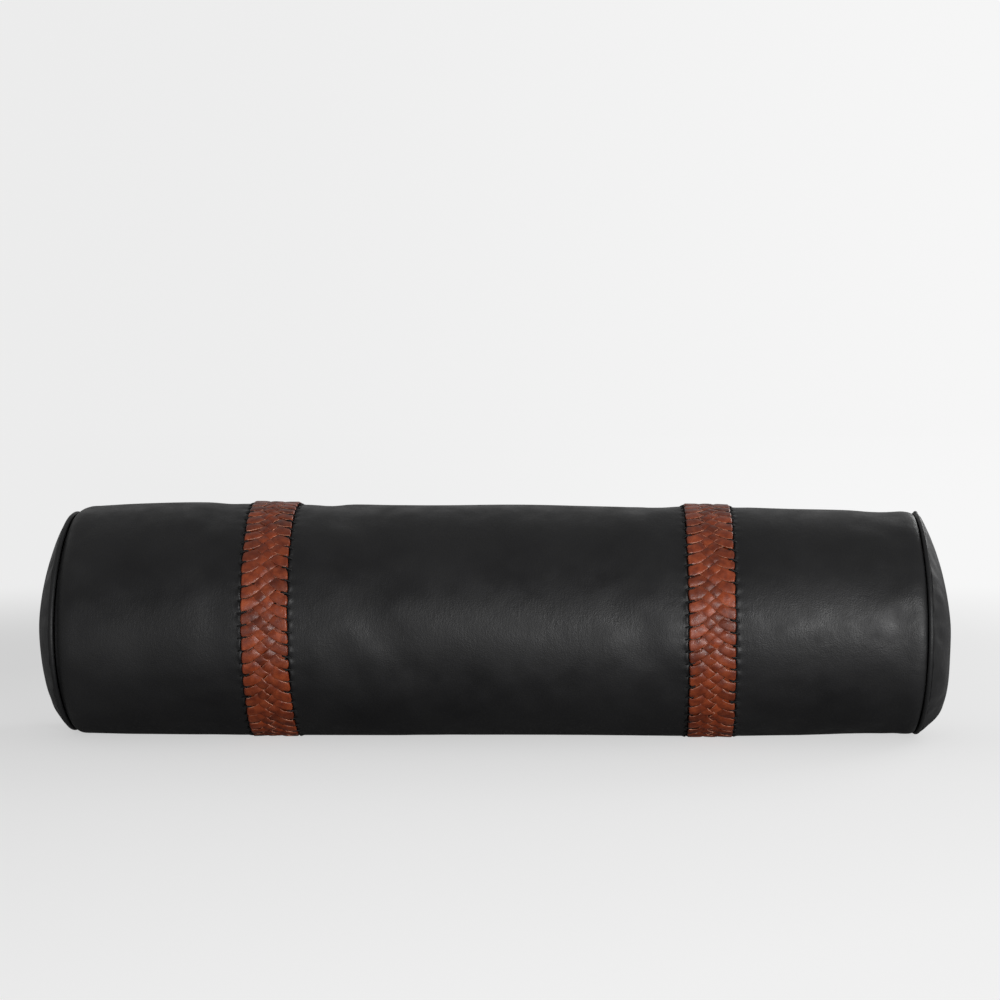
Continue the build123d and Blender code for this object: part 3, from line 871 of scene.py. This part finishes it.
def strand(name, band, tilt, index, node):
    """One strip that zigzags round the band, folding over at each edge."""
    centre, half = sum(band) / 2, (band[1] - band[0]) / 2 - 0.2
    width, advance = 2 * half, strand_count / 2
    one_pitch = (body_radius + braid_base) * pitch
    steepest = (advance * one_pitch / width - edge_slope) * 15 / 8
    passes = 2 * folds_per_turn // strand_count
    steps = fold_steps(half)
    far = np.concatenate([steps + width * k for k in range(passes)])
    which = np.repeat(np.arange(passes), len(steps))
    gone = far - which * width
    across = gone / half - 1
    risen = rise_fraction(across, steepest)
    lengthwise = (which + risen) * advance + index
    slope = np.arctan(strand_slope(across, steepest))
    inside = 1 - across ** 2
    seed = index + 5 * (centre > 0)
    strip = strip_width_edge - (strip_width_edge - strip_width_middle) * inside ** 2
    strip = strip * (1 + 0.06 * np.sin(7 * lengthwise * pitch + 2.1 * seed))
    extent = strip / 2 / np.cos(slope) / one_pitch

    nearest = np.minimum(gone, width - gone)
    turned = np.minimum(nearest, fold_bend) / strand_lift
    inward = np.where(nearest < fold_bend, strand_lift * (1 - np.cos(turned)),
                      strand_lift + (nearest - fold_bend) * (half - strand_lift) / (half - fold_bend))
    folded = np.where(gone <= half, -half + inward, half - inward)
    folded = np.where(which % 2 == 0, folded, -folded)
    rolled = np.sin(turned)

    omega = np.array([-1, -0.93, -0.8, -0.42, 0, 0.42, 0.8, 0.93, 1])
    v = lengthwise[:, None] + omega * extent[:, None]
    around = v * pitch
    wobble = (0.045 * np.sin(11 * around + 1.7 * seed) + 0.04 * np.sin(26 * around + 2.9 * seed)
              + 0.03 * np.sin(43 * around + seed))
    flare = edge_flare * (np.clip((np.abs(across) - 0.35) / 0.65, 0, 1) ** 2 - 1)[:, None]
    crossing = (v - index - which[:, None] * advance) + advance * risen[:, None]
    weave = weave_height(crossing) * rolled[:, None]
    twist = 0.34 + 0.2 * np.sin(19 * around + 1.3 * seed)
    shingle = omega * (twist * inside[:, None] + 0.2 * np.sin(31 * around + 2 * seed) * rolled[:, None])
    crown = 0.42 * (1 - omega ** 2) * (0.35 + 0.65 * weave)
    theta = (v + wobble + flare) * pitch
    frayed = 0.35 * np.sin(37 * around + 3.1 * seed) * (1 - np.minimum(nearest / 6, 1))[:, None]
    corner = 1.3 * np.abs(omega) ** 6 * np.exp(-(nearest / 2.5) ** 2)[:, None]
    x = centre + folded[:, None] - corner * np.sign(folded)[:, None] + frayed + tilt_shift(theta, tilt)
    lift = braid_base + strand_lift * weave + shingle + crown
    r = skin_radius(x, theta, clearance=braid_base + strand_lift + strip_thickness / 2 + 0.5) + lift
    mid = place(x, theta, r)

    normal = grid_normals(mid)
    ends = mid[1] - mid[-2]
    normal[0] = normal[-1] = np.cross(ends, np.gradient(mid[0], axis=0))
    normal /= np.maximum(np.linalg.norm(normal, axis=-1, keepdims=True), 1e-9)
    body = strip_thickness / 2 * np.array([0.15, 0.72, 1, 1, 1, 1, 1, 0.72, 0.15])
    top = mid + normal * body[:, None]
    under = mid - normal * body[:, None]
    loop = np.concatenate([top, under[:, -2:0:-1]], axis=1)
    rows, columns = loop.shape[:2]
    faces = grid_faces(rows, columns, wrap_rows=True, wrap_columns=True)
    cut_columns = (0, 7, 8, 15)
    edge = np.isin(np.arange(columns), cut_columns).astype(int)
    shown = 2 * which + (across > -0.2)
    level = 0.5 + 0.5 * np.sin(12.9 * shown + 4.7 * seed) * np.cos(3.1 * shown + seed)
    nodes = [node] if index == 0 else []
    return make_piece(name, loop.reshape(-1, 3), faces, [BRAID, CUT_EDGE_AND_HIGHLIGHT], nodes,
                      face_material=np.tile(edge, rows), tone=np.repeat(level, columns))


bands = (("left", left_band, LEFT_TILT), ("right", right_band, RIGHT_TILT))
for side_name, band, tilt in bands:
    for number in range(strand_count):
        strand(f"{side_name}_strand_{number + 1}", band, tilt, number, f"{side_name}_braid")


def whip_stitches(name, node, edge, into, tilt, at_gaps):
    """Black thread over one edge of a band. into is 1 where the band lies towards +X."""
    offsets = np.array([-3.8, -2.9, -1.6, -0.2, 1.3, 2.8, 4.4, 5.4]) * into
    heights = np.array([-1.0, 0.3, 0.75, 1.1, 1.7, 1.8, 1.2, -0.4])
    slant = np.linspace(-0.1, 0.1, len(offsets))
    parts = []
    for k in range(folds_per_turn):
        theta = (k + (0.5 if at_gaps else 0) + slant + 0.04 * math.sin(5.3 * k)) * pitch
        x = edge + offsets + 0.4 * math.sin(7.1 * k) * into + tilt_shift(theta, tilt)
        points = on_skin(x, theta, heights, clearance=whip_clearance)
        parts.append(tube_along(points, whip_radius * (1 + 0.12 * math.sin(3.7 * k)), 8))
    points, faces = merge(parts)
    return make_piece(name, points, faces, [THREAD], [node])


for side_name, band, tilt in bands:
    names = ("outer", "inner") if side_name == "left" else ("inner", "outer")
    for edge_name, edge, into in zip(names, band, (1, -1)):
        whip_stitches(f"{side_name}_{edge_name}_whip", f"{side_name}_braid_{edge_name}_stitches", edge, into,
                      tilt, into > 0)


# ---- layers below the leather

def sleeve(name, node, low, high, depth, thickness, material, step=9.0):
    """A closed tube of cloth at a depth below the leather."""
    x, theta = np.meshgrid(np.linspace(low, high, int((high - low) / step) + 2),
                           even_angles(180), indexing="ij")
    limit_x = np.clip(x, left_seam + 12, right_seam - 12)
    outer = place(x, theta, skin_radius(limit_x, theta) - depth)
    inner = place(x, theta, skin_radius(limit_x, theta) - depth - thickness)
    outer[..., 2] = np.maximum(outer[..., 2], depth)
    inner[..., 2] = np.maximum(inner[..., 2], depth + thickness)
    points, faces = ring_solid(np.concatenate([outer, inner[::-1]], axis=0))
    return make_piece(name, points, faces, [material], [node])


for side_name in ("left", "right"):
    low, high = corners(f"{side_name}_backing_strip")
    sleeve(f"{side_name}_backing_cloth", f"{side_name}_backing_strip", low[0], high[0], 4.3, 1.0, CANVAS_AND_SHADE,
           3.5)

sleeve("insert_casing_cloth", "insert_casing", -insert_reach, insert_reach, insert_depth, casing_thickness,
       TICKING)


def insert_ring(x, station, depth, scale):
    """One ring of the insert at x: the skin's outline at a station, taken in by depth and then scaled."""
    angles = even_angles(120)
    return place(x, angles, (skin_radius(np.full_like(angles, station), angles) - depth) * scale)


end_turns = np.linspace(0, BACK, 12)[:-1]


def wadding(name, node, depth, reach, dome):
    """The filling: a long core with rounded ends."""
    rings = [insert_ring(-reach - dome * math.sin(f), -reach, depth, math.cos(f)) for f in end_turns[::-1]]
    rings += [insert_ring(s, s, depth, 1.0) for s in np.linspace(-reach, reach, 60)[1:-1]]
    rings += [insert_ring(reach + dome * math.sin(f), reach, depth, math.cos(f)) for f in end_turns]
    grid = np.array(rings)
    rows, columns = grid.shape[:2]
    count = rows * columns
    points = np.concatenate([grid.reshape(-1, 3), [grid[0].mean(0), grid[-1].mean(0)]])
    faces = list(grid_faces(rows, columns, wrap_columns=True))
    for j in range(columns):
        k = (j + 1) % columns
        faces += [[count, j, k], [count + 1, count - columns + k, count - columns + j]]
    return make_piece(name, points, faces, [FILLING], [node])


def insert_disc(name, node, side, dome):
    """The domed cotton disc that closes one end of the insert."""
    outer, inner = (np.array([
        insert_ring(side * (insert_reach + (dome - extra) * math.sin(f)), side * insert_reach,
                    insert_depth + extra / 2, math.cos(f)) for f in end_turns])
        for extra in (0, casing_thickness))
    points, faces = dome_solid(outer, inner, outer[-1].mean(0), inner[-1].mean(0), side < 0)
    return make_piece(name, points, faces, [TICKING], [node])


wadding("insert_wadding", "insert_fill", 8.0, 404.0, 30.0)
insert_disc("insert_left_disc", "insert_left_end", -1, 40.0)
insert_disc("insert_right_disc", "insert_right_end", 1, 40.0)


# ---- seam and zip threads

def running_stitch(name, node, spans, thetas, length=4.2, height=0.1, material=THREAD):
    """Rows of dashes of thread along the pillow, one row at each angle."""
    dips = np.array([-0.75, 0.05, 0.15, 0.15, 0.05, -0.75])
    parts = []
    for theta in thetas:
        for low, high in spans:
            for start in np.arange(low, high - length, length + stitch_gap):
                x = start + np.linspace(0, length, len(dips))
                path = on_skin(x, np.full(len(dips), theta), height + dips)
                parts.append(tube_along(path, row_thread_radius, 7))
    points, faces = merge(parts)
    return make_piece(name, points, faces, [material], [node])


for seam_name in ("left", "right", "centre"):
    node_name = f"{seam_name}_long_seam_stitches"
    low, high = corners(node_name)
    spans = [(low[0], high[0])]
    if seam_name == "centre":
        spans = [(low[0], slit[0] - 4), (slit[1] + 4, high[0])]
    running_stitch(f"{seam_name}_seam_thread_rows", node_name, spans,
                   [BACK + sign * seam_row_offset / body_radius for sign in (-1, 1)], length=4.0)
for row_name in ("upper", "lower"):
    node_name = f"zip_{row_name}_topstitching"
    low, high = corners(node_name)
    rise = middle(node_name)[2] - axis_z
    running_stitch(f"zip_{row_name}_thread_row", node_name, [(low[0], high[0])],
                   [BACK - math.asin(rise / body_radius)])
low, high = corners("insert_closing_stitches")
closing_angle = BACK + math.atan2(axis_z - (low[2] + high[2]) / 2, (low[1] + high[1]) / 2)
running_stitch("insert_closing_thread", "insert_closing_stitches", [(low[0], high[0])], [closing_angle],
               height=-5.7, material=INSERT_THREAD)


# ---- zip

def zip_coil(name, node, side):
    """One side of the zip: a flattened spiral whose loops reach between those of the other side."""
    turns = 240
    steps = 14
    t = np.arange(turns * steps) / steps
    run = (coil_run[1] - coil_run[0]) / turns
    x = coil_run[0] + (t + (0.25 if side > 0 else 0.75)) * run * (turns - 1) / turns
    swing = np.cos(TURN * t)
    low, high = -0.45, 2.75
    z = axis_z + side * ((low + high) / 2 + (high - low) / 2 * swing)
    y = coil_middle_y + 0.72 * np.sin(TURN * t)
    points, faces = tube_along(np.stack([x, y, z], -1), 0.3, 6)
    return make_piece(name, points, faces, [COIL], [node])


def zip_tape(name, node, side):
    """Woven tape beside one coil, slightly rippled by its stitching, that meets the other past the stops."""
    low, high = corners(node)
    past_coil = np.array([0.3, 1.1, 1.9, 2.8])
    stations = np.sort(np.concatenate([np.linspace(low[0], high[0], 120), coil_run[0] - past_coil,
                                       coil_run[1] + past_coil]))
    x, w = np.meshgrid(stations, np.linspace(0, 1, 14), indexing="ij")
    far = high[2] if side > 0 else low[2]
    beyond = np.maximum(coil_run[0] - x, x - coil_run[1])
    near = axis_z + side * (1.6 - 1.54 * smooth_step((beyond - 0.3) / 2.5))
    z = near + (far - near) * w
    follow = np.sqrt(np.maximum(tape_radius ** 2 - (z - axis_z) ** 2, 0)) - 0.15
    y = follow - 0.25 - 0.12 * np.sin(x / 2.8) * w * (1 - w)
    outer = np.stack([x, y, z], -1)
    if side > 0:
        outer = outer[::-1]
    points, faces = sheet_solid(outer, 0.6)
    return make_piece(name, points, faces, [TAPE], [node])


for row_name, side in (("upper", 1), ("lower", -1)):
    zip_coil(f"zip_{row_name}_spiral", f"zip_{row_name}_coil", side)
    zip_tape(f"zip_{row_name}_ribbon", f"zip_{row_name}_tape", side)


# ---- CAD nodes that stay

KEPT = {
    THREAD: ["left_end_seam_thread", "right_end_seam_thread"],
    BRASS: ["zip_top_stops", "zip_bottom_stop", "zip_slider_body", "zip_slider_bail", "zip_pull_tab"],
}
for finish, node_names in KEPT.items():
    for node_name in node_names:
        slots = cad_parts[node_name].data.materials
        slots.clear()
        slots.append(finish)


# ---- floor, light and camera

def floor():
    """A wide pale floor."""
    reach = 30
    corners_m = [(-reach, -reach, 0), (reach, -reach, 0), (reach, reach, 0), (-reach, reach, 0)]
    mesh = bpy.data.meshes.new("floor")
    mesh.from_pydata(corners_m, [], [(0, 1, 2, 3)])
    mesh.materials.append(floor_finish())
    plane = add_object("floor", mesh)


def turn_to(thing, target):
    """Turns a light or camera to a point."""
    thing.rotation_mode = "QUATERNION"
    thing.rotation_quaternion = (Vector(target) - thing.location).to_track_quat("-Z", "Y")


def soft_light(name, place_m, target, size, power):
    """A wide area light turned to a point, not seen itself."""
    lamp = bpy.data.lights.new(name, "AREA")
    lamp.shape = "RECTANGLE"
    lamp.size, lamp.size_y = size
    lamp.energy = power
    light = add_object(name, lamp)
    light.location = place_m
    light.visible_camera = False
    turn_to(light, target)


def studio():
    """A pale room, dim in front of the pillow and bright behind it, with a broad low light from the right."""
    world = bpy.data.worlds.new("room")
    scene.world = world
    world.use_nodes = True
    tree = world.node_tree
    seen, depth = sideways_glow(tree, add_node(tree, "TexCoord", {}, "Generated"))
    background = tree.nodes["Background"]
    strength = seen_or_cast(tree, seen, map_range(tree, depth, -0.9, 0.9, *ROOM_CAST))
    feed(tree, background, "Color", (1, 1, 1, 1))
    feed(tree, background, "Strength", strength)
    soft_light("key", (1.5, -2.9, 0.3), (0.2, 0, 0.1), (1.8, 0.6), 82)
    soft_light("rim", (1.6, 1.6, 1.1), (0.2, 0, 0.15), (1.2, 0.8), 14)
    scene.view_settings.view_transform = "Standard"


def camera():
    """A long lens at the height of a low table, turned up so that the pillow lies in the lower half."""
    distance, azimuth, elevation = 2.414, math.radians(2.3), math.radians(5)
    aim_up, aim_right = 0.1225, 0.006
    data = bpy.data.cameras.new("camera")
    data.sensor_width, data.lens = 36, 86.4
    view = add_object("camera", data)
    centre = Vector(((left_seam + right_seam) / 2, 0, axis_z)) * MM
    back = Vector((math.sin(azimuth) * math.cos(elevation), -math.cos(azimuth) * math.cos(elevation),
                   math.sin(elevation)))
    right = Vector((math.cos(azimuth), math.sin(azimuth), 0))
    up = right.cross(-back)
    aim = centre + up * aim_up + right * aim_right
    view.location = centre + back * distance
    turn_to(view, aim)
    scene.camera = view


floor()
studio()
camera()
